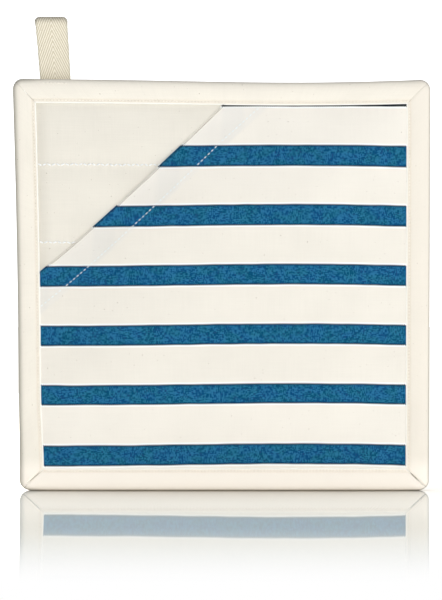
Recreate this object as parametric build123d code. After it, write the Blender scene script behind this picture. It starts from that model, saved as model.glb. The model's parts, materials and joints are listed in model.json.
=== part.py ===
from build123d import *
import math
import os

# Square pocket pot holder: a quilted pad, a striped pocket across its front, a bound edge
# all round, and a tape loop to hang it by. Millimetres. +Z is up, +X is to the right and
# -Y is the front. The origin is the middle of the loop's eye, where a hook bears.

# Pad and its bound edge
pad_width = 200.0
pad_height = 200.0
corner_radius = 5.2         # outer corners, seen from the front
binding_width = 11.5        # binding on the face, from the outer edge to its inner fold
binding_cloth = 0.8         # binding strip folded double
edge_round = 2.8            # rounding of the bound edge at the front and at the back
binding_stitch_inset = 1.4  # stitch row, from the inner fold of the binding

# Plies
panel_cloth = 0.6
batting_edge = 1.8          # wadding where the binding squeezes it
barrier_thickness = 0.8     # heat-reflecting felt
ply_gap = 0.2               # between plies, and under the binding

# Quilting
front_puff = 1.4            # how far the palm side swells between the bound edges
back_puff = 0.8
puff_ramp = 30.0            # distance over which the swelling grows from the binding
quilt_dip = 0.5             # how far a stitch row pulls the swelling in
quilt_rows = 4
quilt_first_row = 41.0      # from the top edge of the pad
quilt_pitch = 38.0

# Pocket
pocket_stand_off = 5.6      # how far the pocket stands off the palm
pocket_ramp = 45.0          # distance over which it rises from the binding
mouth_along_top = 88.5      # mouth's end on the top binding, from the inner corner
mouth_down_side = 81.5      # mouth's end on the left binding, from the inner corner
hem_width = 14.0            # cloth turned under along the mouth
hem_stitch_inset = 12.0     # stitch row, from the folded mouth
pocket_clearance = 0.3      # between the pocket front and what it moves past

# Threads
thread_width = 0.5
thread_height = 0.3
channel_clearance = 0.1     # beside a thread that sinks into the binding
thread_steps = 32           # straight stretches that a row of stitches is laid in

# Hanging loop
tape_width = 15.0
tape_thickness = 0.8
eye_radius = 3.0            # inside of the loop's top bend
loop_rise = 31.0            # top of the loop above the pad
loop_lean = 4.2             # degrees, to the left
loop_from_left = 18.0       # middle of the tape at the pad's top edge, from the left edge
tail_bevel = 30.0           # degrees off upright, where the tack pulls the tail's top in
tape_gap = 0.1              # between the tape's two legs where they meet
loop_clearance = 0.3        # between the moving loop and what it turns past
tack_width = 12.0
tack_drop = 1.0             # tack stitch row below the rounding of the bound edge

# Ply levels through the edge, each the front face of its ply, from the front to the back
edge_thickness = 2 * binding_cloth + 3 * panel_cloth + batting_edge + barrier_thickness + 6 * ply_gap
pocket_level = -edge_thickness / 2 + binding_cloth + ply_gap
palm_level = pocket_level + panel_cloth + ply_gap
batting_level = palm_level + panel_cloth + ply_gap
barrier_level = batting_level + batting_edge + ply_gap
back_level = barrier_level + barrier_thickness + ply_gap
pocket_rise = front_puff + pocket_stand_off

# The window inside the binding, and the plies' own cut edge inside the binding's fold
window_width = pad_width - 2 * binding_width
window_height = pad_height - 2 * binding_width
ply_inset = binding_cloth + edge_round
ply_width = pad_width - 2 * ply_inset
ply_height = pad_height - 2 * ply_inset
ply_corner = max(corner_radius - binding_cloth, ply_gap)

# The loop, from the eye down to the line where it bends at the pad's top edge
tape_stack = 2 * tape_thickness + tape_gap
knuckle_radius = tape_stack / 2
hinge_rise = knuckle_radius + loop_clearance
lean = math.radians(loop_lean)
loop_reach = (loop_rise - eye_radius - tape_thickness - hinge_rise) / math.cos(lean)
hinge_x = loop_reach * math.sin(lean)
hinge_z = -loop_reach * math.cos(lean)

# Where the pad's middle lies from the eye
pad_x = hinge_x - loop_from_left + pad_width / 2
pad_y = -(edge_thickness / 2 + ply_gap + knuckle_radius)
pad_z = hinge_z - hinge_rise - pad_height / 2

# A reach that is more than the pad's, for what is cut through or cut away
wide = pad_width + pad_height

# The tape is sewn down on the back of the top binding as far as the binding's stitch row
tail_length = binding_width - binding_stitch_inset - thread_width / 2 - loop_clearance


def rise_radius(length, rise):
    """Radius of the two equal arcs that carry a ply from level, up by rise, to level again."""
    return (length ** 2 + rise ** 2) / (4 * rise)


def rise_at(distance, length, rise):
    """Height of a ply at a distance from the binding, full from length inwards."""
    if distance >= length:
        return rise
    if distance > length / 2:
        return rise - rise_at(length - distance, length, rise)
    radius = rise_radius(length, rise)
    return radius - math.sqrt(radius ** 2 - max(distance, 0) ** 2)


def distance_at(height, length, rise):
    """Distance from the binding at which a ply has reached a height, on its first arc."""
    radius = rise_radius(length, rise)
    return math.sqrt(2 * radius * height - height ** 2)


def from_binding(x, z):
    """Distance from the nearer side of the window."""
    return min(window_width / 2 - abs(x), window_height / 2 - abs(z))


def quilt_row_z(row):
    """Where a quilting row lies, up from the pad's middle; row 0 is the top one."""
    return pad_height / 2 - quilt_first_row - row * quilt_pitch


def row_height(x, z, puff):
    """Height of a quilted face on a stitch row."""
    return min(rise_at(from_binding(x, z), puff_ramp, puff + quilt_dip), puff - quilt_dip)


def palm_row_height(x, z):
    return row_height(x, z, front_puff)


def back_row_height(x, z):
    return row_height(x, z, back_puff)


def pocket_height(x, z):
    return rise_at(from_binding(x, z), pocket_ramp, pocket_rise)


def rise_profile(half, length, rise):
    """Section of a ply that rises from the binding at both sides, in (across, height)."""
    reaches = [length * quarters / 4 for quarters in range(5)]
    points = [(-half + reach, rise_at(reach, length, rise)) for reach in reaches]
    left = ThreePointArc(*points[:3]) + ThreePointArc(*points[2:])
    top = Line((-half + length, rise), (half - length, rise))
    rest = Polyline((half, 0), (wide, 0), (wide, -wide), (-wide, -wide), (-wide, 0), (-half, 0))
    return make_face(left + top + mirror(left, about=Plane.YZ) + rest)


def wave_profile(puff):
    """Section of the quilting, arcs pulled in at each stitch row and swollen between, in (up, height)."""
    quarter = quilt_pitch / 4
    middle = puff - quilt_dip / 2
    wave = Curve()
    for row in range(-2, quilt_rows + 2):
        z = quilt_row_z(row)
        wave += ThreePointArc((z + quarter, middle), (z, puff - quilt_dip), (z - quarter, middle))
        wave += ThreePointArc((z - quarter, middle), (z - 2 * quarter, puff), (z - 3 * quarter, middle))
    high, low = quilt_row_z(-2) + quarter, quilt_row_z(quilt_rows + 1) - 3 * quarter
    return make_face(wave + Polyline((low, middle), (low, -wide), (high, -wide), (high, middle)))


def swollen(length, rise, side, waves=None):
    """Solid behind a swollen face that is level with y = 0 under the binding.

    side is -1 for a face that swells to the front and +1 for one that swells to the back.
    """
    across = Plane(origin=(0, 0, 0), x_dir=(1, 0, 0), z_dir=(0, 0, side))
    upright = Plane(origin=(0, 0, 0), x_dir=(0, 0, 1), z_dir=(-side, 0, 0))
    body = extrude(across * rise_profile(window_width / 2, length, rise), wide, both=True)
    body &= extrude(upright * rise_profile(window_height / 2, length, rise), wide, both=True)
    if waves:
        body &= extrude(upright * waves, wide, both=True)
    return body


def quilted(puff, side):
    return swollen(puff_ramp, puff + quilt_dip, side, wave_profile(puff))


def prism(face):
    """A flat shape in the XZ plane, made right through the pad's thickness."""
    return extrude(Plane.XZ * face, wide, both=True)


def sheet(body, outer_level, inner_level, outline):
    """Even ply that follows a swollen face, between two levels under the binding."""
    return (Pos(0, outer_level, 0) * body - Pos(0, inner_level, 0) * body) & outline


def slab(low, high, outline):
    """Flat layer from y = low to y = high, cut to an outline."""
    layer = Pos(0, (low + high) / 2, 0) * Box(wide, high - low, wide)
    return layer & outline


def along_mouth(start, end):
    """Band parallel to the pocket's mouth, between two distances measured into the pocket."""
    slope = math.atan2(mouth_down_side, mouth_along_top)
    middle_x = -window_width / 2 + mouth_along_top / 2
    middle_z = window_height / 2 - mouth_down_side / 2
    inwards = (start + end) / 2
    centre = (middle_x + inwards * math.sin(slope), middle_z - inwards * math.cos(slope))
    return prism(Pos(*centre) * Rot(0, 0, math.degrees(slope)) * Rectangle(2 * wide, end - start))


def frame_outline(inset, width):
    """Square ring between two insets from the pad's outer edge."""
    outer = Rectangle(pad_width - 2 * inset, pad_height - 2 * inset)
    inner = Rectangle(pad_width - 2 * inset - 2 * width, pad_height - 2 * inset - 2 * width)
    return prism(outer - inner)


def side_wedge(name):
    """The part of the edge that belongs to one side, out to the 45 degree mitres."""
    w, h = pad_width / 2, pad_height / 2
    reach = min(w, h)
    corners = {
        "top": [(-w, h), (w, h), (w - reach, h - reach), (-w + reach, h - reach)],
        "bottom": [(-w, -h), (w, -h), (w - reach, -h + reach), (-w + reach, -h + reach)],
        "left": [(-w, -h), (-w, h), (-w + reach, h - reach), (-w + reach, -h + reach)],
        "right": [(w, -h), (w, h), (w - reach, h - reach), (w - reach, -h + reach)],
    }
    points = corners[name]
    kept = [p for i, p in enumerate(points) if math.dist(p, points[i - 1]) > ply_gap]
    return prism(make_face(Polyline(*kept, close=True)))


def rounded_plate(inset, rounding):
    """Plate as thick as the bound edge, less an inset all over, with rounded front and back edges."""
    radius = max(corner_radius - inset, rounding)
    outline = Plane.XZ * RectangleRounded(pad_width - 2 * inset, pad_height - 2 * inset, radius)
    plate = extrude(outline, edge_thickness / 2 - inset, both=True)
    faces = plate.faces().sort_by(Axis.Y)
    return fillet(faces[0].edges() + faces[-1].edges(), rounding)


def binding_ring():
    """Folded strip round the pad's edge: a thin shell with a window at the front and the back."""
    shell = rounded_plate(0, edge_round) - rounded_plate(binding_cloth, edge_round - binding_cloth)
    return shell - prism(Rectangle(window_width, window_height)) - stitch_ring(channel_clearance)


def stitch_ring(clearance):
    """Stitch rows sunk in the front and back of the binding, just outside its inner fold."""
    inset = binding_width - binding_stitch_inset - thread_width / 2 - clearance
    ring = frame_outline(inset, thread_width + 2 * clearance)
    face = edge_thickness / 2
    return slab(-face, -face + thread_height, ring) + slab(face - thread_height, face, ring)


def thread_run(start, end, height, level, side):
    """Raised thread that follows a swollen face in a straight row from start to end, each (x, z).

    level is the face's height under the binding; the thread lies ply_gap off the face.
    """
    length = math.dist(start, end)
    near, far = [], []
    for i in range(thread_steps + 1):
        t = i / thread_steps
        x = start[0] + t * (end[0] - start[0])
        z = start[1] + t * (end[1] - start[1])
        y = level + side * (height(x, z) + ply_gap)
        near.append((t * length, y))
        far.append((t * length, y + side * thread_height))
    along = Vector(end[0] - start[0], 0, end[1] - start[1]).normalized()
    plane = Plane(origin=(start[0], 0, start[1]), x_dir=along, z_dir=along.cross(Vector(0, 1, 0)))
    ribbon = make_face(Polyline(*near, *reversed(far), close=True))
    return extrude(plane * ribbon, thread_width / 2, both=True)


def quilting_runs(height, level, side, left_ends, right_end):
    """The quilting rows' thread on one face of the pad, one run to a row, between given ends."""
    runs = []
    for row in range(quilt_rows):
        z = quilt_row_z(row)
        runs.append(thread_run((left_ends[row], z), (right_end, z), height, level, side).solid())
    return Compound(runs)


def needle_thread():
    """Quilting on the palm side; under the pocket a row ends where the pocket stands clear of it."""
    open_end = window_width / 2 - pocket_clearance
    needed = front_puff - quilt_dip + thread_height + pocket_clearance
    covered_end = window_width / 2 - distance_at(needed, pocket_ramp, pocket_rise)
    mouth_foot_z = window_height / 2 - mouth_down_side
    shown = [quilt_row_z(row) > mouth_foot_z for row in range(quilt_rows)]
    left_ends = [-open_end if in_sight else -covered_end for in_sight in shown]
    return quilting_runs(palm_row_height, palm_level, -1, left_ends, covered_end)


def bobbin_thread():
    end = window_width / 2 - pocket_clearance
    return quilting_runs(back_row_height, back_level + panel_cloth, 1, [-end] * quilt_rows, end)


def hem_thread():
    """Stitch row along the mouth, from the left binding to the top binding."""
    slope = math.atan2(mouth_down_side, mouth_along_top)
    half_w = window_width / 2 - pocket_clearance
    half_h = window_height / 2 - pocket_clearance
    x, z = -window_width / 2, window_height / 2 - mouth_down_side - hem_stitch_inset / math.cos(slope)
    start = (-half_w, z + (-half_w - x) * math.tan(slope))
    end = (x + (half_h - z) / math.tan(slope), half_h)
    return thread_run(start, end, pocket_height, pocket_level, -1)


def tape_section():
    """The loop seen from the side: a round bend at the top and two legs that meet below."""
    radius = eye_radius + tape_thickness / 2
    base = (tape_stack - tape_thickness) / 2
    reach = math.hypot(base, loop_reach)
    turn = math.atan2(-loop_reach, base) + math.acos(radius / reach)
    near = (radius * math.cos(turn), radius * math.sin(turn))
    far = (-near[0], near[1])
    path = Line((base, -loop_reach), near) + ThreePointArc(near, (0, radius), far)
    path += Line(far, (-base, -loop_reach))
    return Plane.YZ * trace(path, tape_thickness)


def hanging_loop():
    """Tape loop leaning in its own plane, with its foot rounded about the bending line."""
    tape = Rot(0, -loop_lean, 0) * extrude(tape_section(), tape_width / 2, both=True)
    above = Pos(hinge_x, 0, hinge_z + wide / 2) * Box(wide, wide, wide)
    foot = Pos(hinge_x, 0, hinge_z) * Rot(0, 90, 0) * Cylinder(knuckle_radius, tape_width)
    return (tape & above) + foot


def loop_tail():
    """The tape's sewn-down end on the back of the top binding, pulled in at its top."""
    top = hinge_z - hinge_rise
    half = tape_stack / 2
    slope = tape_stack / math.tan(math.radians(tail_bevel))
    points = [(-half, top), (-half, top - tail_length), (half, top - tail_length), (half, top - slope)]
    side = Plane.YZ * make_face(Polyline(*points, close=True))
    return Pos(hinge_x, 0, 0) * extrude(side, tape_width / 2, both=True)


def tack_thread():
    """Stitch row that holds the loop: a run on the front binding and one on the tail's back."""
    z = pad_z + pad_height / 2 - edge_round - tack_drop
    front_y = pad_y - edge_thickness / 2 - thread_height / 2
    back_y = tape_stack / 2 + thread_height / 2
    low_z = hinge_z - hinge_rise - tape_stack / math.tan(math.radians(tail_bevel)) - thread_width
    run = Box(tack_width, thread_height, thread_width)
    return Compound(children=[Pos(hinge_x, front_y, z) * run, Pos(hinge_x, back_y, low_z) * run])


def pad_parts():
    """Everything that is laid out from the pad's middle, by node name."""
    palm = quilted(front_puff, -1)
    back = quilted(back_puff, 1)
    pocket = swollen(pocket_ramp, pocket_rise, -1)
    plies = prism(RectangleRounded(ply_width, ply_height, ply_corner))
    window = prism(Rectangle(window_width, window_height))
    clear = 2 * pocket_clearance
    moving = prism(Rectangle(window_width - clear, window_height - clear))
    beyond_mouth = along_mouth(-wide, 0)

    wadding = (Pos(0, batting_level, 0) * palm) & (Pos(0, batting_level + batting_edge, 0) * back) & plies
    front = sheet(pocket, pocket_level, pocket_level + panel_cloth, moving - beyond_mouth)
    trim = distance_at(front_puff + panel_cloth + pocket_clearance, pocket_ramp, pocket_rise)
    inside = prism(Rectangle(window_width - 2 * trim, window_height - 2 * trim))
    hem_area = inside & along_mouth(0, hem_width)
    turned = sheet(pocket, pocket_level + panel_cloth, pocket_level + 2 * panel_cloth, hem_area)
    seam_area = plies - window - beyond_mouth

    parts = {
        "back_panel": sheet(back, back_level + panel_cloth, back_level, plies),
        "heat_barrier": sheet(back, barrier_level + barrier_thickness, barrier_level, plies),
        "batting": wadding,
        "palm_panel": sheet(palm, palm_level, palm_level + panel_cloth, plies),
        "pocket_seam_allowance": slab(pocket_level, pocket_level + panel_cloth, seam_area),
        "pocket_panel": front + turned,
        "hem_thread": hem_thread(),
        "quilting_needle_thread": needle_thread(),
        "quilting_bobbin_thread": bobbin_thread(),
    }
    ring = binding_ring()
    stitches = stitch_ring(0)
    for side in ("top", "right", "bottom", "left"):
        wedge = side_wedge(side)
        parts[f"binding_{side}"] = ring & wedge
        parts[f"binding_thread_{side}"] = stitches & wedge
    return parts


def main():
    os.makedirs("parts", exist_ok=True)
    parts = {name: Pos(pad_x, pad_y, pad_z) * part for name, part in pad_parts().items()}
    parts["hanging_loop"] = hanging_loop()
    parts["loop_tail"] = loop_tail()
    parts["loop_tack_thread"] = tack_thread()
    for name, part in parts.items():
        export_step(part, f"parts/{name}.step")


main()
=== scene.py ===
import json
import math
from itertools import accumulate

import bpy
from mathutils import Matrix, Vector, noise


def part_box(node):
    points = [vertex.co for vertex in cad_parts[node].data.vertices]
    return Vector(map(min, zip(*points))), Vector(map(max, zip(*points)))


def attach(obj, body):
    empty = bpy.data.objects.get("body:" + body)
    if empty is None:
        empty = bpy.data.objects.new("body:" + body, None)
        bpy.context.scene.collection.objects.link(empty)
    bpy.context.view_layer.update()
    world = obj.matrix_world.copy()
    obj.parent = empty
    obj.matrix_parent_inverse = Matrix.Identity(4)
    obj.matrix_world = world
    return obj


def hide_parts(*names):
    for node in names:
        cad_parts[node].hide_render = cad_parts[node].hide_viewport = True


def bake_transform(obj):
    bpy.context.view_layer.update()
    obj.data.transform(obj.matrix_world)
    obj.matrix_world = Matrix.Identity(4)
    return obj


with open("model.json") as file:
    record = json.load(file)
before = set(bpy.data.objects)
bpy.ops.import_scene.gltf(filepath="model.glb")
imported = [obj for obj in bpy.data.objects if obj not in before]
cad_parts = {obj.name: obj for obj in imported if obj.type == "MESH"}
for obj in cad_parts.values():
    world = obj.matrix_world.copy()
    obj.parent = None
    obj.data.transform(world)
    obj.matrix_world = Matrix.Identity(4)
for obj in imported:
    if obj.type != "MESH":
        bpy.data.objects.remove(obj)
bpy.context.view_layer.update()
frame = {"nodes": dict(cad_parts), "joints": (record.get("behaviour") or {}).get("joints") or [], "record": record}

# Everything on the pad is laid out in millimetres from the pad's middle: x to the right,
# z up, and front towards the pocket side. place() turns that into the frame's metres.
MM = 0.001
SIDES = ("top", "right", "bottom", "left")
ring = [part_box(f"binding_{side}") for side in SIDES]
pad_low = Vector(min(low[i] for low, high in ring) for i in range(3))
pad_high = Vector(max(high[i] for low, high in ring) for i in range(3))
pad_middle = (pad_low + pad_high) / 2
half_width, half_thick, half_height = ((pad_high - pad_low) / 2 / MM)[:]
binding_low, binding_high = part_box("binding_top")
binding_width = (binding_high.z - binding_low.z) / MM
window_x = half_width - binding_width
window_z = half_height - binding_width
narrowing_reach = 11.0
outer_radius = 5.2

# Thickness of the cloths, half the size of a face cloth, which runs a little way in under the
# binding, and the faces of the plies there, out from the pad's mid-plane
cloth = 0.5
strip_cloth = 0.6
under_binding = 2.6
cloth_x = window_x + under_binding
cloth_z = window_z + under_binding
pocket_face = half_thick - 0.8
palm_face = pocket_face - 0.8
back_face = half_thick - 0.9

# Quilting: how far each face swells, and how its rows of stitches pull it in
palm_puff = 1.4
back_puff = 0.8
puff_ramp = 7.0
quilt_dip = 0.75
quilt_dip_width = 5.5
quilt_first_row = 41.0
quilt_pitch = 38.0
quilt_rows = [half_height - quilt_first_row - quilt_pitch * row for row in range(4)]

# Pocket: how far it stands off, the slanting mouth, and the hem turned under along it
pocket_low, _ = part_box("pocket_panel")
pocket_rise = (pad_middle.y - pocket_low.y) / MM - pocket_face
pocket_ramp = 45.0
mouth_along_top = 88.5
mouth_down_side = 81.5
mouth_top_x = window_x - mouth_along_top
mouth_left_z = window_z - mouth_down_side
mouth_run = Vector((mouth_top_x + window_x, window_z - mouth_left_z)).normalized()
mouth_in = Vector((mouth_run.y, -mouth_run.x))
mouth_point = Vector((mouth_top_x, window_z))
hem_width = 14.0
hem_stitch_inset = 12.0
hem_pull = 1.2
hem_bow = 1.7
fold_radius = 0.28
pocket_thick = 2 * fold_radius * 0.95
bow_reach = 62.0

# Stripes of the pocket cloth: the middle of one, and their repeat, up from the pad's middle
stripe_first = 63.05
stripe_pitch = 29.06
stripe_width = 10.2
thread_pitch = 0.5

# Stitches: length of one from hole to hole, and how far they lie off the face
quilt_stitch = 2.1
hem_stitch = 2.3
binding_stitch = 1.6
tack_stitch = 1.7
stitch_lift = 0.05
quilt_lift = 0.06

# Hanging tape: its eye, its hinge at the pad's top edge, and its lean to the left
mount = frame["record"]["mounts"][0]
eye_radius = mount["dims"]["r_mm"]
tape_half = mount["dims"]["length_mm"] / 2
tape_thick = 0.8
tail_low, tail_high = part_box("loop_tail")
hinge = Vector(frame["joints"][0]["pos_m"])
lean = math.atan2(hinge.x, -hinge.z)
leg_gap = (tail_high.y - tail_low.y) / 2 / MM - tape_thick / 2


def smooth(t):
    """0 up to 0, 1 from 1, smooth between."""
    t = min(max(t, 0.0), 1.0)
    return t * t * (3 - 2 * t)


def bell(distance, width):
    """1 at no distance, falling off smoothly over a width."""
    return math.exp(-(distance / width) ** 2)


def ripple(x, z, size, seed=0.0):
    """Smooth unevenness of hand-made cloth, about -1 to 1, in lumps of a given size."""
    return noise.noise(Vector((x / size, z / size, seed)))


def place(x, front, z):
    """Frame position of a point on the pad. Sewn by hand, it is slightly out of square, its top
    edge sags a little, and its binding is narrower at the left and the bottom."""
    across, up = x / half_width, z / half_height
    left, right = -0.1 - 1.55 * up - 0.95 * up * up, 1.5 + 0.4 * up
    sag = -0.2 + 1.35 * across * across - 0.2 * across - 0.5 * math.sin(math.pi * across)
    inner = -0.8 + 1.3 * smooth((-z - 50.0) / 40.0)
    moved_x = x + (left * (1 - across) + right * (1 + across)) / 2
    moved_x += inner * bell(x + window_x, narrowing_reach)
    moved_z = z + sag * max(up, 0.0) ** 3 - 0.9 * bell(z + window_z, narrowing_reach)
    return pad_middle + Vector((moved_x, -front, moved_z)) * MM


def swelling(x, z, length):
    """Share of a swelling that grows from the binding inwards over a length."""
    return smooth((window_x - abs(x)) / length) * smooth((window_z - abs(z)) / length)


def filled(x, z, length):
    """Swelling of a padded face, which rises at once beside the binding."""
    across, up = max(window_x - abs(x), 0.0), max(window_z - abs(z), 0.0)
    return (1 - math.exp(-across / length)) * (1 - math.exp(-up / length))


def row_wander(x, row):
    """How far a quilting row strays from straight."""
    return 0.35 * ripple(x, row, 25.0, 3.0)


def quilted(x, z, puff):
    """Height of a quilted face, pulled in along each stitch row with small puckers."""
    puckers = 1 + 0.16 * math.sin(x * 2 * math.pi / 6.3 + 2 * ripple(x, z, 9.0))
    pull = 0.0
    for row in quilt_rows:
        pull += bell(z - row - row_wander(x, row), quilt_dip_width) * puckers
    lumps = 0.16 * ripple(x, z, 22.0, 5.0) + 0.07 * ripple(x, z, 8.0, 9.0)
    return filled(x, z, puff_ramp) * (puff + lumps - quilt_dip * pull)


def seam_pucker(x, z, seed):
    """Little gathers where a ply runs in under the binding's stitches."""
    edge = min(window_x - abs(x), window_z - abs(z))
    along = z if window_x - abs(x) < window_z - abs(z) else x
    fine = 0.10 * math.sin(along * 2 * math.pi / 4.1 + 3 * ripple(along, 0, 14.0, seed))
    broad = 0.22 * ripple(along, edge, 11.0, seed + 1)
    return smooth(edge / 1.5) * bell(edge, 6.0) * (fine + broad)


def palm_front(x, z):
    """The palm's quilted face, out from the pad's mid-plane."""
    return palm_face + quilted(x, z, palm_puff) + seam_pucker(x, z, 11.0)


def back_front(x, z):
    """The back's quilted face, which lies behind the mid-plane."""
    return -(back_face + quilted(x, z, back_puff) + 0.6 * seam_pucker(x, z, 17.0))


def mouth_line(x):
    """Height of the straight line from one end of the mouth to the other."""
    return window_z + (x - mouth_top_x) * mouth_run.y / mouth_run.x


def mouth_up(x):
    """Height of the mouth's folded edge, which its stitching pulls in, most in the middle."""
    share = (x + window_x) / (mouth_top_x + window_x)
    bow = hem_bow * 4 * share * (1 - share) if 0 < share < 1 else 0.0
    return mouth_line(x) - hem_pull - bow


def mouth_depth(x, z):
    """Distance into the pocket from the line of its mouth."""
    return (Vector((x, z)) - mouth_point).dot(mouth_in)


def pocket_front(x, z):
    """The pocket's outer face: sewn down at the binding, bowed out, and slack towards its mouth."""
    depth = mouth_depth(x, z)
    stand = (pocket_rise - palm_puff) * swelling(x, z, pocket_ramp) * (1 - 0.8 * bell(depth, 30.0))
    slack = 0.45 * ripple(x, z, 46.0, 21.0) + 0.15 * ripple(x, z, 17.0, 23.0)
    under = (palm_puff + 0.3) * filled(x, z, puff_ramp)
    gathers = seam_pucker(x, z, 29.0) * smooth(depth / 16.0)
    closed = 0.9 * bell(depth - 2.0, 12.0) * swelling(x, z, 10.0)
    return pocket_face + under + stand + slack * swelling(x, z, 20.0) + gathers - closed


def make_piece(name, points, faces, layout=None):
    """Mesh object from points in the frame, with an optional flat layout in metres per point."""
    mesh = bpy.data.meshes.new(name)
    mesh.from_pydata([p[:] for p in points], [], faces)
    if layout:
        flat = mesh.uv_layers.new(name="cloth")
        for loop in mesh.loops:
            flat.data[loop.index].uv = layout[loop.vertex_index]
    mesh.shade_smooth()
    piece = bpy.data.objects.new(name, mesh)
    bpy.context.scene.collection.objects.link(piece)
    return piece


def grid_faces(rows, columns, wrap=False):
    """Quads of a grid whose points are stored row by row."""
    faces = []
    for row in range(rows - 1):
        here, after = row * columns, (row + 1) * columns
        for a in range(columns if wrap else columns - 1):
            b = (a + 1) % columns
            faces.append((here + a, here + b, after + b, after + a))
    return faces


def settle(piece):
    """Applies the modifiers of a piece to its mesh."""
    ready = piece.evaluated_get(bpy.context.evaluated_depsgraph_get())
    mesh = bpy.data.meshes.new_from_object(ready)
    piece.modifiers.clear()
    piece.data = mesh
    return piece


def thicken(piece, thickness, offset=-1.0):
    """Gives a sheet its cloth's thickness."""
    layer = piece.modifiers.new("thickness", "SOLIDIFY")
    layer.thickness = thickness * MM
    layer.offset = offset
    layer.use_even_offset = False
    return settle(piece)


def spread(low, high, count):
    """Evenly spaced values from low to high."""
    return [low + (high - low) * i / (count - 1) for i in range(count)]


# ---------------------------------------------------------------- finishes

class Value:
    """One output among shader nodes. Arithmetic on it adds Math nodes."""

    def __init__(self, nodes, socket):
        self.nodes = nodes
        self.socket = socket

    def math(self, operation, *values):
        return self.nodes.node("ShaderNodeMath", {"operation": operation}, dict(enumerate(values)))

    def __add__(self, other):
        return self.math("ADD", self, other)

    def __sub__(self, other):
        return self.math("SUBTRACT", self, other)

    def __rsub__(self, other):
        return self.math("SUBTRACT", other, self)

    def __mul__(self, other):
        return self.math("MULTIPLY", self, other)

    def __truediv__(self, other):
        return self.math("DIVIDE", self, other)

    def __rtruediv__(self, other):
        return self.math("DIVIDE", other, self)

    __radd__ = __add__
    __rmul__ = __mul__

    def sine(self):
        return self.math("SINE", self)

    def cosine(self):
        return self.math("COSINE", self)

    def size(self):
        return self.math("ABSOLUTE", self)

    def whole(self):
        return self.math("FLOOR", self)

    def least(self, other):
        return self.math("MINIMUM", self, other)

    def step(self, low, high):
        """0 at low, 1 at high, smooth between."""
        settings = {"interpolation_type": "SMOOTHSTEP"}
        inputs = {"Value": self, "From Min": low, "From Max": high}
        return self.nodes.node("ShaderNodeMapRange", settings, inputs)


class Nodes:
    """The shader nodes of a material or a world."""

    def __init__(self, tree):
        self.tree = tree

    def node(self, kind, settings=None, inputs=None, output=0):
        """Adds a node: its type, its settings and then its sockets."""
        made = self.tree.nodes.new(kind)
        for key, value in (settings or {}).items():
            setattr(made, key, value)
        for key, value in (inputs or {}).items():
            self.feed(made.inputs[key], value)
        return Value(self, made.outputs[output])

    def feed(self, socket, value):
        if isinstance(value, Value):
            self.tree.links.new(value.socket, socket)
        else:
            socket.default_value = value

    def axis(self, where, name):
        """One coordinate of a position or a direction."""
        return self.node("ShaderNodeSeparateXYZ", None, {0: where}, name)

    def vector(self, x, y, z=0.0):
        return self.node("ShaderNodeCombineXYZ", None, {0: x, 1: y, 2: z})

    def noise(self, where, size, detail=2.0):
        """Noise of a lump size in millimetres, 0 to 1."""
        inputs = {"Vector": where, "Scale": 1.0 / size, "Detail": detail}
        return self.node("ShaderNodeTexNoise", {"noise_dimensions": "3D"}, inputs)

    def mix(self, share, first, second):
        """Colour from first to second by a share."""
        inputs = {"Factor": share, 6: first, 7: second}
        return self.node("ShaderNodeMix", {"data_type": "RGBA"}, inputs, 2)


class Finish(Nodes):
    """A material: its Principled shader and the nodes that feed it."""

    def __init__(self, name, **constants):
        self.material = bpy.data.materials.new(name)
        self.material.use_nodes = True
        super().__init__(self.material.node_tree)
        self.shader = self.tree.nodes["Principled BSDF"]
        for socket, value in constants.items():
            self.shader.inputs[socket.replace("_", " ")].default_value = value

    def set(self, name, value):
        self.feed(self.shader.inputs[name], value)

    def flat(self):
        """The cloth's own flat layout, in millimetres, as (across, up)."""
        layout = self.node("ShaderNodeUVMap", {"uv_map": "cloth"})
        return self.axis(layout, "X") / MM, self.axis(layout, "Y") / MM

    def solid(self):
        """Position in space, in millimetres."""
        where = self.node("ShaderNodeTexCoord", None, None, "Object")
        inputs = {0: where, "Scale": 1 / MM}
        return self.node("ShaderNodeVectorMath", {"operation": "SCALE"}, inputs)

    def bump(self, height, strength, distance):
        """Bump for a height from 0 to 1 that stands for a distance in millimetres."""
        inputs = {"Strength": strength, "Distance": distance * MM, "Height": height}
        return self.node("ShaderNodeBump", None, inputs)


def colour(red, green, blue):
    """Display colour, 0 to 255, as linear light."""
    linear = []
    for part in (red, green, blue):
        part /= 255
        linear.append(part / 12.92 if part <= 0.04045 else ((part + 0.055) / 1.055) ** 2.4)
    return (*linear, 1.0)


def plain_weave(across, up):
    """Height of a plain weave: rounded threads that pass over and under each other, 0 to 1."""
    turn = math.pi / thread_pitch
    warp = (across * turn).cosine()
    weft = (up * turn).cosine()
    over = (warp * weft) * 0.5 + 0.5
    return warp.size() * over + weft.size() * (1.0 - over)


def scaled(base, share):
    """A colour made darker or paler, up to full white."""
    return [min(1.0, part * share) for part in base[:3]] + [1.0]


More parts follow.
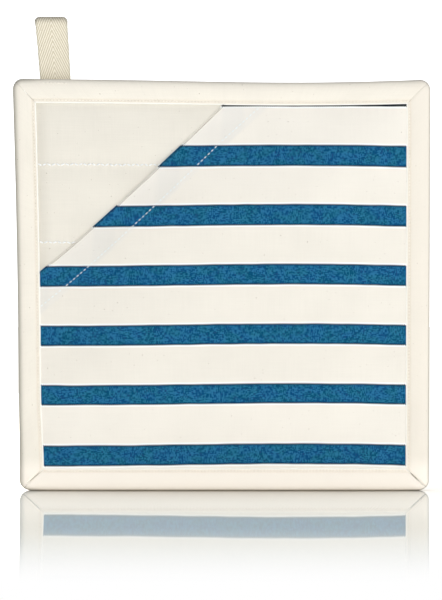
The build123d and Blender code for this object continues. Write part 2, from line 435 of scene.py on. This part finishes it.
def cotton(name, base, variation):
    """Matt woven cotton: an even weave with slubs, flecks, slightly uneven colour and painted shade in the weave's
    hollows.
    """
    finish = Finish(name, Sheen_Weight=0.06, Sheen_Roughness=0.5, Specular_IOR_Level=0.08)
    across, up = finish.flat()
    where = finish.vector(across, up)
    drift = finish.noise(where, 3.0, 2.0)
    weave = plain_weave(across + drift * 0.25, up + drift * 0.25)
    slub_across = finish.noise(finish.vector(across * 0.06, up * 2.1), 1.0, 2.0)
    slub_up = finish.noise(finish.vector(across * 2.1, up * 0.06), 1.0, 2.0)
    slubs = (slub_across + slub_up) * 0.5
    patches = finish.noise(where, 26.0, 3.0)
    fleck = finish.noise(where, 0.8, 0.0).step(0.84, 0.88)
    darker, paler = scaled(base, 1 - 2 * variation), scaled(base, 1 + variation)
    shade = finish.mix((patches * 0.4 + slubs * 0.4 + 0.1).step(0.2, 0.8), darker, paler)
    # Painted shade: darker in the hollows between the threads, where the weave is low.
    shade = finish.mix((1.0 - weave) * 0.22, shade, scaled(base, 0.6))
    finish.across, finish.up, finish.where = across, up, where
    finish.shade = finish.mix(fleck * 0.75, shade, colour(120, 98, 72))
    finish.set("Roughness", 0.86 + slubs * 0.1)
    finish.set("Normal", finish.bump(weave * 0.75 + slubs * 0.5, 0.5, 0.09))
    return finish


cream = colour(246, 241, 230)
unbleached = colour(237, 233, 223)
pocket_ground = colour(241, 237, 228)


def palm_cotton():
    """Unbleached cotton, with painted shade in the nook along the binding."""
    finish = cotton("natural_cotton", unbleached, variation=0.045)
    # Painted shade: the cloth darkens towards brown within a few millimetres of the binding, more at the sides
    # than at the ends.
    sides = finish.across.size().step(window_x - 7.0, window_x) * 0.16
    ends = finish.up.size().step(window_z - 5.0, window_z) * 0.08
    finish.set("Base Color", finish.mix(sides + ends, finish.shade, colour(140, 132, 112)))
    return finish


def striped_cotton():
    """Cream cotton with woven blue stripes. The turned-under hem shows faintly through it. Painted shadow darkens
    the stripes under the top binding, and painted light makes the cloth paler towards its top and bottom.
    """
    finish = cotton("striped_cotton", pocket_ground, variation=0.035)
    across, up = finish.across, finish.up
    part = across / window_x
    arch = 0.35 - part * part * 0.7 + (part * 2.67).sine() * 0.42
    wander = (finish.noise(finish.where, 14.0, 1.0) - 0.5) * 0.5
    level = up - arch + wander - up.step(78.0, 88.0) * 0.55
    teeth = (across * (2 * math.pi)).sine() * 0.3

    def stripes(level, soft, width):
        """1 on the stripes, with an edge of a softness in millimetres."""
        phase = (level - stripe_first + stripe_pitch / 2) / stripe_pitch
        around = (phase - phase.whole() - 0.5) * stripe_pitch
        return (around.size() - width / 2).step(soft, -soft)

    width = stripe_width + up * 0.006
    blue = stripes(level + teeth, 0.15, width)
    core = stripes(level + teeth, 0.2, width - 1.7)
    beside = stripes(level, 0.2, width + 1.6) - blue

    def yarns(wide, tall):
        """A random value to each patch of so many threads across and up."""
        column = (across / thread_pitch / wide).whole()
        row = (level / thread_pitch / tall).whole()
        patch = {"Vector": finish.vector(column, row)}
        return finish.node("ShaderNodeTexWhiteNoise", {"noise_dimensions": "2D"}, patch)

    crossing = (yarns(1.0, 2.0) + yarns(2.0, 1.0) - 1.0) * 0.68 + 0.5
    batch = finish.noise(finish.vector(across, up * 1.6), 8.0, 1.0)
    streak = finish.noise(finish.vector(across * 0.25, up), 0.9, 1.0)
    tone = crossing * 0.7 + streak * 0.3
    stripe_dye_and_shade = finish.mix(batch.step(0.36, 0.64), colour(0, 88, 120), colour(6, 82, 136))
    stripe_dye_and_shade = finish.mix((crossing - 0.96).step(0.0, 0.02) * 0.35, stripe_dye_and_shade, colour(62, 86, 144))
    pale = finish.mix(0.48, stripe_dye_and_shade, colour(56, 132, 168))
    dark = finish.mix(0.42, stripe_dye_and_shade, colour(0, 48, 84))
    stripe_dye_and_shade = finish.mix(tone.step(0.25, 0.75), pale, dark)
    stripe_dye_and_shade = finish.mix((1.0 - core) * 0.8, stripe_dye_and_shade, colour(0, 34, 60))
    # Painted shadow: the stripe darkens to near black where it runs in under the top binding's lip.
    stripe_dye_and_shade = finish.mix(up.step(80.0, 84.0) * 0.95, stripe_dye_and_shade, colour(4, 8, 14))

    depth = (across - mouth_point.x) * mouth_in.x + (up - mouth_point.y) * mouth_in.y - 1.4
    doubled = depth.step(0.0, 0.4) * (1.0 - depth.step(hem_width - 0.6, hem_width + 1.2))
    through = stripes(up - depth * (2 * mouth_in.y), 1.5, stripe_width) * doubled * 0.04
    # Painted light: the cloth is painted paler towards the pocket's top and bottom.
    ground = finish.mix(up.size().step(30.0, 66.0) * 0.17, finish.shade, colour(255, 252, 247))
    ground = finish.mix(beside, ground, colour(252, 255, 255))
    ground = finish.mix(doubled * 0.34, ground, colour(228, 227, 224))
    ground = finish.mix(through, ground, colour(120, 150, 175))
    finish.set("Base Color", finish.mix(blue, ground, stripe_dye_and_shade))
    return finish


def herringbone_tape():
    """Natural cotton tape with herringbone chevrons across its width, with painted shade along its edges and at
    its fold.
    """
    finish = Finish("herringbone_tape",
                    Sheen_Weight=0.2, Sheen_Roughness=0.5, Specular_IOR_Level=0.2)
    across, along = finish.flat()
    where = finish.vector(across, along)
    drift = (finish.noise(where, 5.0, 2.0) - 0.5) * 0.35
    twill = across.size() / 1.12 - along / 2.5 + drift / 2.5
    ribs = (twill * (2 * math.pi)).sine() * 0.5 + 0.5
    yarns = (across * (2 * math.pi / 0.42)).sine() * 0.5 + 0.5
    patches = finish.noise(where, 9.0, 3.0)
    # Painted shade: the tape greys towards its edges.
    edge = across.size().step(tape_half - 1.3, tape_half) * 0.3
    # Painted shade: a dark band where the tape folds over at the top of its loop.
    fold = along.size().step(5.0, 1.0) * 0.45
    shade = finish.mix(patches, colour(240, 233, 216), colour(251, 246, 232))
    shade = finish.mix((1.0 - ribs) * 0.8, shade, colour(190, 180, 152))
    shade = finish.mix(edge, shade, colour(176, 176, 158))
    finish.set("Base Color", finish.mix(fold, shade, colour(96, 89, 74)))
    finish.set("Roughness", 0.82 + ribs * 0.1)
    finish.set("Normal", finish.bump(ribs * 0.8 + yarns * 0.25, 0.7, 0.16))
    return finish


def sewing_thread(name, base, dark, hole_share):
    """Twisted cotton thread, with painted shade where each stitch goes down its needle holes."""
    finish = Finish(name, Roughness=0.6, Sheen_Weight=0.15, Specular_IOR_Level=0.3)
    where = finish.solid()
    along, _ = finish.flat()
    hole = (along - 0.5).size().step(0.34, 0.47)
    shade = finish.mix(finish.noise(where, 1.6, 2.0), dark, base)
    # Painted shade: the thread darkens at both ends of each stitch, in its needle holes.
    shade = finish.mix(hole * hole_share, shade, colour(128, 114, 92))
    finish.set("Base Color", shade)
    finish.set("Normal", finish.bump(finish.noise(where, 0.22, 1.0), 0.5, 0.06))
    return finish


def wadding():
    """White, lumpy cotton wadding."""
    finish = Finish("cotton_wadding", Roughness=0.95, Sheen_Weight=0.5)
    where = finish.solid()
    lumps = finish.noise(where, 6.0, 4.0)
    fibres = finish.noise(where, 0.6, 4.0)
    finish.set("Base Color", finish.mix(lumps, colour(226, 222, 212), colour(246, 244, 238)))
    finish.set("Normal", finish.bump(fibres + lumps, 0.7, 0.5))
    return finish


def heat_felt():
    """Needled felt with a dull silver face."""
    finish = Finish("heat_felt", Metallic=0.35, Sheen_Weight=0.2)
    where = finish.solid()
    fibres = finish.noise(where, 0.5, 4.0)
    pricks = finish.noise(where, 1.4, 1.0).step(0.55, 0.7)
    finish.set("Base Color", finish.mix(fibres, colour(158, 160, 163), colour(205, 207, 210)))
    finish.set("Roughness", 0.5 + pricks * 0.3)
    finish.set("Normal", finish.bump(fibres * 0.6 + pricks * 0.4, 0.6, 0.2))
    return finish


palm_finish = palm_cotton()
pocket_finish = striped_cotton()
tape_finish = herringbone_tape()
thread_finish = sewing_thread(
    "cotton_thread", base=colour(252, 248, 240), dark=colour(244, 238, 226), hole_share=0.5)
pale_thread_finish = sewing_thread(
    "pale_thread", base=colour(250, 253, 255), dark=colour(246, 249, 250), hole_share=0.12)
hem_thread_finish = sewing_thread(
    "hem_thread_cotton", base=colour(242, 251, 255), dark=colour(236, 247, 252), hole_share=0.12)


def dress(piece, finish):
    """Gives a piece its material."""
    piece.data.materials.clear()
    piece.data.materials.append(finish.material)
    return piece


# ---------------------------------------------------------------- camera, light and floor

# Height of the view at the object, the camera's distance and its middle, in metres
view_height = 0.2934
view_distance = 2.0
view_x, view_z = 0.0832, -0.1343
lit_point = (0.084, 0, -0.13)
floor_drop = 0.0003
floor_shade = (0.06, 0.05, 0.03, 1)


def add_camera():
    """Level with the object and square to its front."""
    data = bpy.data.cameras.new("camera")
    data.sensor_fit = "VERTICAL"
    data.sensor_height = data.sensor_width
    data.lens = data.sensor_height * view_distance / view_height
    data.clip_start, data.clip_end = 0.1, 30.0
    camera = bpy.data.objects.new("camera", data)
    camera.location = (view_x, pad_low.y - view_distance, view_z)
    camera.rotation_euler = (math.pi / 2, 0, 0)
    bpy.context.scene.collection.objects.link(camera)
    bpy.context.scene.camera = camera


def add_light(name, location, side, power, tint):
    """Square soft light that faces the object."""
    data = bpy.data.lights.new(name, "AREA")
    data.shape = "SQUARE"
    data.size = side
    data.energy = power
    data.color = tint
    light = bpy.data.objects.new(name, data)
    light.location = location
    aim = Vector(lit_point) - Vector(location)
    light.rotation_euler = aim.to_track_quat("-Z", "Y").to_euler()
    bpy.context.scene.collection.objects.link(light)


def add_world():
    """White studio. Cloth is lit softly, less from the left and from overhead."""
    world = bpy.data.worlds.new("studio")
    world.use_nodes = True
    bpy.context.scene.world = world
    nodes = Nodes(world.node_tree)
    direction = nodes.node("ShaderNodeTexCoord", None, None, "Generated")
    diffuse = nodes.node("ShaderNodeLightPath", None, None, "Is Diffuse Ray")
    sides = nodes.axis(direction, "X").step(-0.9, 0.9) * 0.57 + 0.05
    overhead = 0.62 - nodes.axis(direction, "Z").step(0.25, 0.9) * 0.32
    seen = (1.0 - diffuse) * 1.5
    background = nodes.tree.nodes["Background"]
    nodes.feed(background.inputs["Color"], (1, 1, 1, 1))
    nodes.feed(background.inputs["Strength"], seen + sides.least(overhead) * diffuse)


def add_floor():
    """Pale polished floor that glows, with painted shadow and painted shade near the object. Its gloss and the
    painted shade fade out in front of the object.
    """
    far, z = 12.0, pad_low.z - floor_drop
    corners = [Vector((x, y, z)) for x, y in ((-far, -far), (far, -far), (far, far), (-far, far))]
    floor = make_piece("floor", corners, [(0, 1, 2, 3)])
    finish = Finish("floor_white")
    ahead = (pad_low.y / MM - finish.axis(finish.solid(), "Y")).step(300.0, 660.0)
    share = (1.0 - ahead) * 0.54
    polish = {"Color": (0.95, 0.89, 0.82, 1), "Roughness": 0.02}
    gloss = finish.node("ShaderNodeBsdfGlossy", None, polish)
    # Painted shadow: ambient occlusion darkens the floor's glow in a thin line where the object meets it and in a
    # broader soft shade around it, and near the object the glow is a dimmer tint.
    contact = finish.node("ShaderNodeAmbientOcclusion", {"samples": 8}, {"Distance": 0.03}, "AO")
    around = finish.node("ShaderNodeAmbientOcclusion", {"samples": 8}, {"Distance": 0.13}, "AO")
    lit = finish.mix(contact.step(0.40, 0.98), floor_shade, (0.785, 0.858, 0.868, 1))
    lit = finish.mix(1.0 - around, lit, floor_shade)
    lit = finish.mix(ahead, lit, (1, 1, 1, 1))
    white = finish.node("ShaderNodeEmission", None, {"Color": lit, "Strength": 1.0})
    mixed = finish.node("ShaderNodeMixShader", None, {0: share, 1: white, 2: gloss})
    finish.feed(finish.tree.nodes["Material Output"].inputs["Surface"], mixed)
    floor.data.materials.append(finish.material)


add_camera()
add_world()
add_light("key", (0.5, -1.65, 0.30), 0.8, 9.4, (1.0, 0.985, 0.97))
add_light("fill", (-0.1, -1.8, -0.20), 0.9, 8.9, (0.98, 0.99, 1.0))
add_light("back", (-0.3, 1.9, 0.30), 1.2, 12.0, (1.0, 0.99, 0.98))
add_floor()
scene = bpy.context.scene
scene.view_settings.view_transform = "Standard"
scene.view_settings.look = "None"


# ---------------------------------------------------------------- plies

def ply_cloth(name, node, height, finish, facing):
    """A quilted face cloth over the whole window and a little way in under the binding."""
    count = 184
    xs, zs = spread(-cloth_x, cloth_x, count), spread(-cloth_z, cloth_z, count)
    points = [place(x, height(x, z), z) for x in xs for z in zs]
    layout = [(x * MM, z * MM) for x in xs for z in zs]
    faces = grid_faces(count, count)
    if facing > 0:
        faces = [face[::-1] for face in faces]
    piece = thicken(make_piece(name, points, faces, layout), cloth)
    dress(piece, finish)
    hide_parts(node)
    cut = 2 * cloth_x * MM, 2 * cloth_z * MM
    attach(piece, "pad")


ply_cloth("palm_cloth", "palm_panel", palm_front, palm_finish, 1)
ply_cloth("back_cloth", "back_panel", back_front, palm_finish, -1)


def pocket_cloth():
    """The pocket's front cloth, with its mouth folded under."""
    columns, rows, fold_rows, turned_rows = 190, 150, 6, 15
    points, layout = [], []

    def lay(at, front, flat):
        """Adds a point of the cloth, and its place in the flat cloth."""
        points.append(place(at[0], front, at[1]))
        layout.append((flat[0] * MM, flat[1] * MM))

    xs = spread(-cloth_x, cloth_x, columns)
    mouth_columns = sum(1 for x in xs if mouth_up(x) <= window_z + 0.6)
    for x in xs:
        for z in spread(-cloth_z, min(cloth_z, mouth_up(x)), rows):
            lay((x, z), pocket_front(x, z), (x, z))
    faces = grid_faces(columns, rows)
    start = len(points)
    per_column = fold_rows + turned_rows
    for x in xs[:mouth_columns]:
        edge = Vector((x, mouth_up(x)))
        front = pocket_front(*edge)
        for i in range(1, fold_rows + 1):
            angle = math.pi * i / fold_rows
            at = edge - mouth_in * fold_radius * math.sin(angle)
            inside = front - fold_radius * (1 - math.cos(angle))
            lay(at, inside, edge - mouth_in * fold_radius * angle)
        for i in range(1, turned_rows + 1):
            reach = hem_width * i / turned_rows
            at = edge + mouth_in * reach
            inside = max(pocket_front(*at) - 2 * fold_radius, palm_front(*at) + 0.2)
            lay(at, inside, edge - mouth_in * (reach + math.pi * fold_radius))
    for column in range(mouth_columns - 1):
        for i in range(per_column):
            a = start + column * per_column + i
            b = a + per_column
            if i == 0:
                top_row = column * rows + rows - 1
                faces.append((top_row, top_row + rows, b, a))
            else:
                faces.append((a - 1, b - 1, b, a))
    piece = make_piece("pocket_cloth", points, [face[::-1] for face in faces], layout)
    return thicken(piece, pocket_thick)


def bow_open(piece):
    """Bakes a pocket piece's transform and works out each point's share of the swelling from its sewn edges;
    nothing uses these shares.
    """
    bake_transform(piece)
    places = [(vertex.co - pad_middle) / MM for vertex in piece.data.vertices]
    weights = [swelling(at.x, at.z, bow_reach) for at in places]


pocket = pocket_cloth()
dress(pocket, pocket_finish)
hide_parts("pocket_panel", "pocket_seam_allowance")
pocket_side = 2 * cloth_x * MM
cut_off = (mouth_top_x + window_x) * (window_z - mouth_left_z) / 2 * MM * MM
hem_area = hem_width * MM * math.hypot(mouth_top_x + window_x, window_z - mouth_left_z) * MM
pocket_side * pocket_side - cut_off + hem_area
bow_open(pocket)


# ---------------------------------------------------------------- bound edge

# At each corner, how deep the crease of the mitre is, and how far the strips run on past it
crease_depth = {"top_left": 0.0, "top_right": 0.12, "bottom_right": 0.9, "bottom_left": 0.6}
mitre_lap = {"top_left": 0.25, "top_right": 0.1, "bottom_right": -0.1, "bottom_left": -0.05}

# Half of the folded strip's section, from the inner fold round to the outer edge:
# (distance in from the outer edge, height above the mid-plane)
fold_section = [
    (11.3, 1.8), (11.55, 2.3), (11.58, 2.8), (11.4, 3.12), (11.0, 3.26), (10.6, 3.2), (10.1, 3.02),
    (9.6, 3.22), (9.0, 3.42), (8.0, 3.56), (6.8, 3.62), (5.4, 3.64), (4.2, 3.6), (3.2, 3.46),
    (2.3, 3.2), (1.5, 2.8), (0.85, 2.24), (0.35, 1.46), (0.08, 0.74), (0.0, 0.0),
]
strip_half = sum(map(math.dist, fold_section, fold_section[1:]))

# The row of stitches along the strip, in the dip of its section
stitch_row = binding_width - 1.4
stitch_front = 3.02


def binding_cotton():
    """Cream cotton with painted shade: greyer on the rounding of its outer edge, most down the sides, a little
    darker on the right and in the stitched groove, with painted light paler along the bottom and a painted
    highlight along the inner lip.
    """
    finish = cotton("binding_cotton", cream, variation=0.04)
    where = finish.solid()
    x, z = finish.axis(where, "X"), finish.axis(where, "Z")
    left = (x - pad_low.x / MM).step(16.0, 2.0)
    right = (x - pad_high.x / MM).step(-16.0, -2.0)
    low = (z - pad_low.z / MM).step(18.0, 8.0)
    # Painted shade: the rounding of the outer edge greys, widest and darkest down the left side.
    rim = (finish.up - strip_half).size().step(2.8 + left * 2.2, 1.0)
    rim_shade = 0.2 + left * 0.34 + right * 0.3
    # Painted shade: a brownish line in the groove along the stitch row.
    groove_shade = (finish.up - 2.9).size().step(1.3, 0.1) * 0.2
    # Painted highlight: the inner lip of the fold is painted near white.
    lip_highlight = finish.up.step(2.2, 1.5) * 0.75
    # Painted shade: the binding is a little darker down the right side.
    shade = finish.mix(right * 0.5, finish.shade, colour(238, 231, 220))
    # Painted light: the binding is paler along the bottom.
    shade = finish.mix(low, shade, colour(255, 249, 239))
    shade = finish.mix(groove_shade, shade, colour(224, 206, 180))
    shade = finish.mix(lip_highlight, shade, colour(255, 255, 251))
    finish.set("Base Color", finish.mix(rim * rim_shade, shade, colour(122, 120, 106)))
    return finish


binding_finish = binding_cotton()


def contour(side, inset, share):
    """Point on the pad's rounded outline at an inset, from one mitre (0) to the next (1)."""
    long, deep = half_width, half_height
    if side in ("right", "left"):
        long, deep = deep, long
    radius = max(outer_radius - inset, 0.05)
    straight = long - inset - radius
    reach = (2 * share - 1) * (straight + radius * math.pi / 4)
    if abs(reach) <= straight:
        along, out = reach, deep - inset
    else:
        angle = (abs(reach) - straight) / radius
        along = math.copysign(straight + radius * math.sin(angle), reach)
        out = deep - inset - radius * (1 - math.cos(angle))
    turned = {
        "top": (along, out),
        "right": (out, -along),
        "bottom": (-along, -out),
        "left": (-out, along),
    }
    return turned[side]


# The corners where each side's strip begins and ends
side_ends = {
    "top": ("top_left", "top_right"),
    "right": ("top_right", "bottom_right"),
    "bottom": ("bottom_right", "bottom_left"),
    "left": ("bottom_left", "top_left"),
}


def binding_height(side, inset, share, front, face):
    """Height of the folded strip at a place, with its lumps, stitch puckers and mitre creases."""
    length = 2 * (half_width - inset)
    along = share * length
    seed = SIDES.index(side) * 7.0 + (0 if face > 0 else 40)
    flat = smooth(front / 2.5)
    level = smooth(min(along, length - along) / 9.0)
    lumps = 0.28 * ripple(along, inset, 17.0, seed) + 0.12 * ripple(along, inset, 6.0, seed + 3)
    lumps = level * lumps * bell(inset - 6.0, 6.0)
    turn = along * 2 * math.pi / binding_stitch + 2.0 * ripple(along, 0, 12.0, seed)
    ticks = 0.16 * math.sin(turn) + 0.10 * ripple(along, 0, 2.8, seed + 5)
    ticks = level * ticks * bell(inset - stitch_row + 0.3, 1.3)
    height = front + flat * (lumps + ticks)
    first, last = side_ends[side]
    for name, away in ((first, along), (last, length - along)):
        height -= flat * crease_depth[name] * bell(away, 0.5)
    return height


def binding(side):
    """One side's folded strip, from mitre to mitre, front and back in one piece."""
    section = [(inset, front, 1) for inset, front in fold_section]
    section += [(inset, front, -1) for inset, front in fold_section[-2::-1]]
    turns = [(inset, front * face) for inset, front, face in section]
    width = [0.0, *accumulate(map(math.dist, turns, turns[1:]))]
    count = 361
    points, layout = [], []
    first, last = (mitre_lap[end] / half_width / 2 for end in side_ends[side])
    for share in spread(-first, 1 + last, count):
        for (inset, front, face), across in zip(section, width):
            x, z = contour(side, inset, share)
            height = binding_height(side, inset, share, front, face)
            points.append(place(x, face * height, z))
            layout.append((share * 2 * half_width * MM, across * MM))
    faces = [face[::-1] for face in grid_faces(count, len(section))]
    piece = make_piece(f"binding_{side}_strip", points, faces, layout)
    thicken(piece, strip_cloth)
    dress(piece, binding_finish)
    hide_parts(f"binding_{side}")
    2 * half_width * MM
    width[-1] * MM
    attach(piece, "pad")


for side in SIDES:
    binding(side)


# ---------------------------------------------------------------- stitching

def stitch(points, faces, layout, start, end, out, width, height):
    """Adds one stitch: a slim thread that rises between two needle holes. Its flat layout runs
    from 0 to 1 along it."""
    around, along = 6, 6
    run = end - start
    side = run.cross(out).normalized()
    base = len(points)
    for i in range(along + 1):
        t = i / along
        arch = math.sin(math.pi * t)
        middle = start + run * t + out * (height * (arch ** 0.7 - 0.35))
        thick = width / 2 * (0.45 + 0.55 * arch ** 0.5)
        for j in range(around):
            angle = 2 * math.pi * j / around
            points.append(middle + (side * math.cos(angle) + out * math.sin(angle)) * thick)
            layout.append((t * MM, j * MM))
    for face in grid_faces(along + 1, around, wrap=True):
        faces.append(tuple(base + k for k in face))
    faces.append(tuple(base + j for j in reversed(range(around))))
    faces.append(tuple(base + along * around + j for j in range(around)))


def stitch_row_piece(name, runs, width, height, finish):
    """Rows of stitches in one piece. A run is a function from a distance along it to a point and
    the way out of the cloth there, its length, a stitch's length and the gap between two."""
    points, faces, layout = [], [], []
    for at, length, pitch, gap in runs:
        count = round(length / pitch)
        for i in range(count):
            a = length * (i + gap / 2) / count
            b = length * (i + 1 - gap / 2) / count
            start, out = at(a)
            end, _ = at(b)
            stitch(points, faces, layout, start, end, out, width * MM, height * MM)
    piece = make_piece(name, points, faces, layout)
    return dress(piece, finish)


def binding_run(side, face):
    """The row along one side's strip, on its front (1) or its back (-1)."""
    length = 2 * (half_width - stitch_row)

    def at(distance):
        share = distance / length
        x, z = contour(side, stitch_row, share)
        front = binding_height(side, stitch_row, share, stitch_front, face)
        return place(x, face * (front + stitch_lift), z), Vector((0, -face, 0))
    return at, length, binding_stitch, 0.12


for side in SIDES:
    runs = [binding_run(side, 1), binding_run(side, -1)]
    row = stitch_row_piece(f"binding_stitches_{side}", runs, 0.42, 0.22, thread_finish)
    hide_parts(f"binding_thread_{side}")
    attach(row, "pad")


def quilting_run(level, front_at, facing):
    """A quilting row across the pad, its needle holes by turns a little above and below it."""
    def at(distance):
        x = -window_x + distance
        z = level + row_wander(x, level) + 0.42 * math.cos(math.pi * distance / quilt_stitch)
        return place(x, front_at(x, z) + facing * quilt_lift, z), Vector((0, -facing, 0))
    return at, 2 * window_x, quilt_stitch, 0.16


for name, node, front_at, facing in (
    ("quilting_stitches_palm", "quilting_needle_thread", palm_front, 1),
    ("quilting_stitches_back", "quilting_bobbin_thread", back_front, -1),
):
    runs = [quilting_run(level, front_at, facing) for level in quilt_rows]
    row = stitch_row_piece(name, runs, 0.75, 0.34, pale_thread_finish)
    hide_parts(node)
    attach(row, "pad")


def hem_run():
    """The row along the hem, which curves as the mouth does."""
    start = mouth_point + mouth_in * hem_stitch_inset
    first = (window_z - start.y) / mouth_run.y
    last = -(start.x + window_x) / mouth_run.x

    def at(distance):
        flat = start + mouth_run * (last + distance)
        flat.y += mouth_up(flat.x) - mouth_line(flat.x)
        front = pocket_front(flat.x, flat.y)
        return place(flat.x, front + stitch_lift, flat.y), Vector((0, -1, 0))
    return at, first - last, hem_stitch, 0.42


hem = stitch_row_piece("hem_stitches", [hem_run()], 0.40, 0.2, hem_thread_finish)
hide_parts("hem_thread")
bow_open(hem)


# ---------------------------------------------------------------- hanging loop

def tape_path():
    """The tape's middle line seen from the side, as (back, up) from the eye, in millimetres."""
    reach = math.hypot(hinge.x, hinge.z) / MM
    radius = eye_radius + tape_thick / 2
    turn = math.atan2(-reach, leg_gap) + math.acos(radius / math.hypot(leg_gap, reach))
    touch = Vector((radius * math.cos(turn), radius * math.sin(turn)))
    foot = Vector((leg_gap, -reach))
    tail = Vector((leg_gap, (tail_low.z - hinge.z) / MM - reach + 0.4))
    back = [tail + (foot - tail) * t for t in spread(0, 1, 14)]
    back += [foot + (touch - foot) * t for t in spread(0, 1, 40)[1:]]
    angles = spread(turn, math.pi - turn, 21)[1:-1]
    arc = [Vector((radius * math.cos(a), radius * math.sin(a))) for a in angles]
    return back + arc + [Vector((-p.x, p.y)) for p in reversed(back)]


def tape_loop():
    """Herringbone tape sewn down behind the top binding and folded over into a loop."""
    path = tape_path()
    travelled = [0.0, *accumulate((b - a).length for a, b in zip(path, path[1:]))]
    across = spread(-tape_half, tape_half, 17)
    reach = math.hypot(hinge.x, hinge.z) / MM
    points, layout = [], []
    for point, along in zip(path, travelled):
        for x in across:
            selvage = 0.10 * ripple(along, x, 7.0, 51.0) * (1 if abs(x) > tape_half - 0.5 else 0.3)
            back = point.x * (1 + 0.12 * ripple(x, along, 16.0, 55.0))
            raised = max(point.y + reach, 0.0) / reach
            corner = max(abs(x) - tape_half + 1.6, 0.0) / 1.6
            over = x * (1 + 0.03 * raised) + selvage
            up = point.y + 0.9 * raised - 1.4 * smooth((raised - 0.82) / 0.3) * corner ** 2
            level = Vector((over - raised * reach * math.sin(lean), 0, up + reach * math.cos(lean)))
            where = Vector((hinge.x, 0, hinge.z)) + level * MM
            points.append(where + Vector((0, back, 0)) * MM)
            layout.append((x * MM, (along - travelled[-1] / 2) * MM))
    piece = make_piece("tape_loop", points, grid_faces(len(path), len(across)), layout)
    thicken(piece, tape_thick * 0.9, 0.0)
    return dress(piece, tape_finish)


loop = tape_loop()
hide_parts("hanging_loop", "loop_tail")
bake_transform(loop)

tack_low, tack_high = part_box("loop_tack_thread")
tack_length = (tack_high.x - tack_low.x) / MM
tack_aside, tack_front, tack_drop = 2.5, 3.0, 2.0


def front_tack(distance):
    """On the front of the top binding, just below its rounding and a little to the right."""
    x = (tack_low.x - pad_middle.x) / MM + tack_aside + distance
    return place(x, tack_front, half_height - tack_drop), Vector((0, -1, 0))


def back_tack(distance):
    """Behind it, on the tape's sewn-down end."""
    at = Vector((tack_low.x + distance * MM, tack_high.y - 0.0001, tack_low.z + 0.0003))
    return at, Vector((0, 1, 0))


runs = [(run, tack_length, tack_stitch, 0.2) for run in (front_tack, back_tack)]
tack = stitch_row_piece("tack_stitches", runs, 0.45, 0.25, thread_finish)
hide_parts("loop_tack_thread")
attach(tack, "pad")


# ---------------------------------------------------------------- filling, sealed inside the pad

for node, finish in (("batting", wadding()), ("heat_barrier", heat_felt())):
    inner = frame["nodes"][node]
    inner.data.materials.clear()
    inner.data.materials.append(finish.material)
